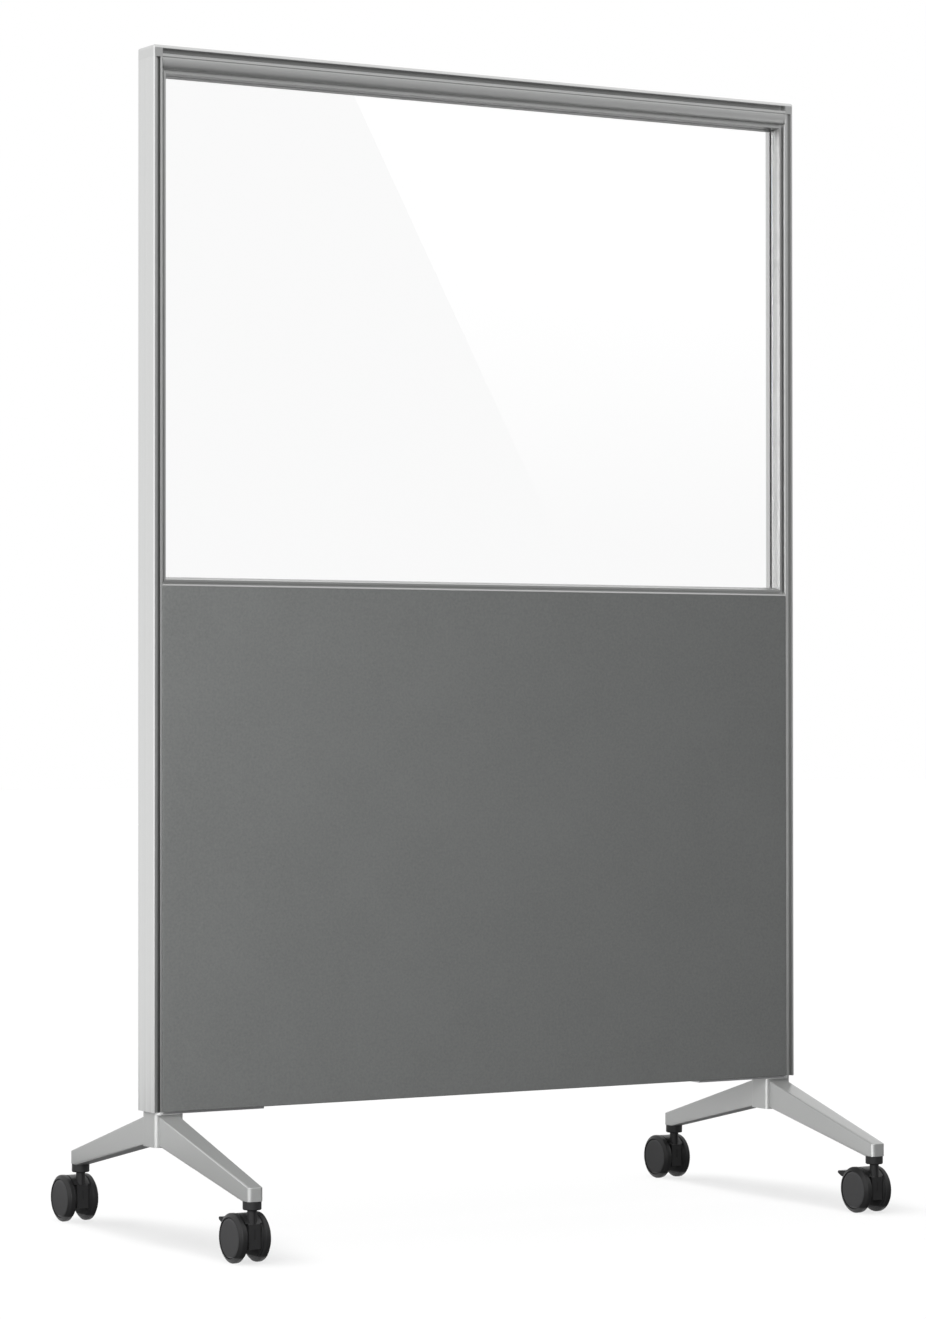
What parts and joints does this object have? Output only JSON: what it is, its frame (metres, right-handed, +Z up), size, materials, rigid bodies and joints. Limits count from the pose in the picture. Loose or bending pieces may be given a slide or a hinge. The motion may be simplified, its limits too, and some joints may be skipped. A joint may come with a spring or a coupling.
{
  "type": "rolling partition",
  "caption": "Rolling office partition: slim aluminium frame, clear glass above, fabric-covered panel below, on arched cast feet with braked twin-wheel casters in front.",
  "frame": {"origin": "on the floor, midway between the floor contacts of the four casters, which all trail towards +Y; the screen's middle plane stands at y = -0.022", "axes": "+Z up, X along the screen's width, the visible front faces -Y"},
  "size_m": [1.2, 0.646, 1.829],
  "materials": {
    "anodised_aluminium": "satin anodised",
    "cast_aluminium": "satin cast",
    "mill_aluminium": "mill",
    "clear_glass": "clear, polished",
    "black_rubber": "matt",
    "charcoal_fabric": "fine plain weave",
    "fibreboard": "unfinished",
    "zinc_plated_steel": "zinc plated",
    "bright_steel": "bright",
    "black_nylon": "moulded, semi-matt",
    "black_wheel": "moulded, semi-matt",
    "hub_cap_grey": "moulded, semi-matt"
  },
  "bodies": {
    "screen": {"left_post": "anodised_aluminium", "right_post": "anodised_aluminium", "left_jamb": "anodised_aluminium", "right_jamb": "anodised_aluminium", "top_cap": "anodised_aluminium", "top_rail": "anodised_aluminium", "glazing_top": "anodised_aluminium", "glazing_bottom": "anodised_aluminium", "glazing_left": "anodised_aluminium", "glazing_right": "anodised_aluminium", "left_corner_block": "cast_aluminium", "right_corner_block": "cast_aluminium", "left_foot": "cast_aluminium", "right_foot": "cast_aluminium", "mid_rail": "mill_aluminium", "bottom_rail": "mill_aluminium", "corner_keys": "mill_aluminium", "glass_pane": "clear_glass", "front_gasket": "black_rubber", "rear_gasket": "black_rubber", "front_fabric_tile": "charcoal_fabric", "rear_fabric_tile": "charcoal_fabric", "core_board": "fibreboard", "tile_clips": "zinc_plated_steel", "frame_screws": "zinc_plated_steel", "foot_plates": "zinc_plated_steel", "foot_bolts": "zinc_plated_steel", "caster_sockets": "black_nylon"},
    "front_left_swivel": {"front_left_caster_stem": "bright_steel", "front_left_caster_body": "black_nylon", "front_left_caster_axle": "bright_steel"},
    "front_left_outer_wheel": {"front_left_outer_wheel": "black_wheel", "front_left_outer_hub_cap": "hub_cap_grey"},
    "front_left_inner_wheel": {"front_left_inner_wheel": "black_wheel", "front_left_inner_hub_cap": "hub_cap_grey"},
    "front_left_brake_lever": {"front_left_brake_lever": "black_nylon"},
    "front_right_swivel": {"front_right_caster_stem": "bright_steel", "front_right_caster_body": "black_nylon", "front_right_caster_axle": "bright_steel"},
    "front_right_outer_wheel": {"front_right_outer_wheel": "black_wheel", "front_right_outer_hub_cap": "hub_cap_grey"},
    "front_right_inner_wheel": {"front_right_inner_wheel": "black_wheel", "front_right_inner_hub_cap": "hub_cap_grey"},
    "front_right_brake_lever": {"front_right_brake_lever": "black_nylon"},
    "rear_left_swivel": {"rear_left_caster_stem": "bright_steel", "rear_left_caster_body": "black_nylon", "rear_left_caster_axle": "bright_steel"},
    "rear_left_outer_wheel": {"rear_left_outer_wheel": "black_wheel", "rear_left_outer_hub_cap": "hub_cap_grey"},
    "rear_left_inner_wheel": {"rear_left_inner_wheel": "black_wheel", "rear_left_inner_hub_cap": "hub_cap_grey"},
    "rear_right_swivel": {"rear_right_caster_stem": "bright_steel", "rear_right_caster_body": "black_nylon", "rear_right_caster_axle": "bright_steel"},
    "rear_right_outer_wheel": {"rear_right_outer_wheel": "black_wheel", "rear_right_outer_hub_cap": "hub_cap_grey"},
    "rear_right_inner_wheel": {"rear_right_inner_wheel": "black_wheel", "rear_right_inner_hub_cap": "hub_cap_grey"}
  },
  "joints": [
    {"name": "front_left_caster_swivel", "type": "hinge", "parent": "screen", "child": "front_left_swivel", "pos_m": [-0.57, -0.308, 0.08], "axis": [0, 0, 1], "continuous": true},
    {"name": "front_left_outer_wheel_spin", "type": "hinge", "parent": "front_left_swivel", "child": "front_left_outer_wheel", "pos_m": [-0.5889, -0.286, 0.037], "axis": [1, 0, 0], "continuous": true},
    {"name": "front_left_inner_wheel_spin", "type": "hinge", "parent": "front_left_swivel", "child": "front_left_inner_wheel", "pos_m": [-0.5511, -0.286, 0.037], "axis": [1, 0, 0], "continuous": true},
    {"name": "front_left_brake", "type": "hinge", "parent": "front_left_swivel", "child": "front_left_brake_lever", "pos_m": [-0.57, -0.27, 0.054], "axis": [1, 0, 0], "range_deg": [-20, 0]},
    {"name": "front_right_caster_swivel", "type": "hinge", "parent": "screen", "child": "front_right_swivel", "pos_m": [0.57, -0.308, 0.08], "axis": [0, 0, 1], "continuous": true},
    {"name": "front_right_outer_wheel_spin", "type": "hinge", "parent": "front_right_swivel", "child": "front_right_outer_wheel", "pos_m": [0.5889, -0.286, 0.037], "axis": [1, 0, 0], "continuous": true},
    {"name": "front_right_inner_wheel_spin", "type": "hinge", "parent": "front_right_swivel", "child": "front_right_inner_wheel", "pos_m": [0.5511, -0.286, 0.037], "axis": [1, 0, 0], "continuous": true},
    {"name": "front_right_brake", "type": "hinge", "parent": "front_right_swivel", "child": "front_right_brake_lever", "pos_m": [0.57, -0.27, 0.054], "axis": [1, 0, 0], "range_deg": [-20, 0]},
    {"name": "rear_left_caster_swivel", "type": "hinge", "parent": "screen", "child": "rear_left_swivel", "pos_m": [-0.57, 0.264, 0.08], "axis": [0, 0, 1], "continuous": true},
    {"name": "rear_left_outer_wheel_spin", "type": "hinge", "parent": "rear_left_swivel", "child": "rear_left_outer_wheel", "pos_m": [-0.5889, 0.286, 0.037], "axis": [1, 0, 0], "continuous": true},
    {"name": "rear_left_inner_wheel_spin", "type": "hinge", "parent": "rear_left_swivel", "child": "rear_left_inner_wheel", "pos_m": [-0.5511, 0.286, 0.037], "axis": [1, 0, 0], "continuous": true},
    {"name": "rear_right_caster_swivel", "type": "hinge", "parent": "screen", "child": "rear_right_swivel", "pos_m": [0.57, 0.264, 0.08], "axis": [0, 0, 1], "continuous": true},
    {"name": "rear_right_outer_wheel_spin", "type": "hinge", "parent": "rear_right_swivel", "child": "rear_right_outer_wheel", "pos_m": [0.5889, 0.286, 0.037], "axis": [1, 0, 0], "continuous": true},
    {"name": "rear_right_inner_wheel_spin", "type": "hinge", "parent": "rear_right_swivel", "child": "rear_right_inner_wheel", "pos_m": [0.5511, 0.286, 0.037], "axis": [1, 0, 0], "continuous": true}
  ]
}
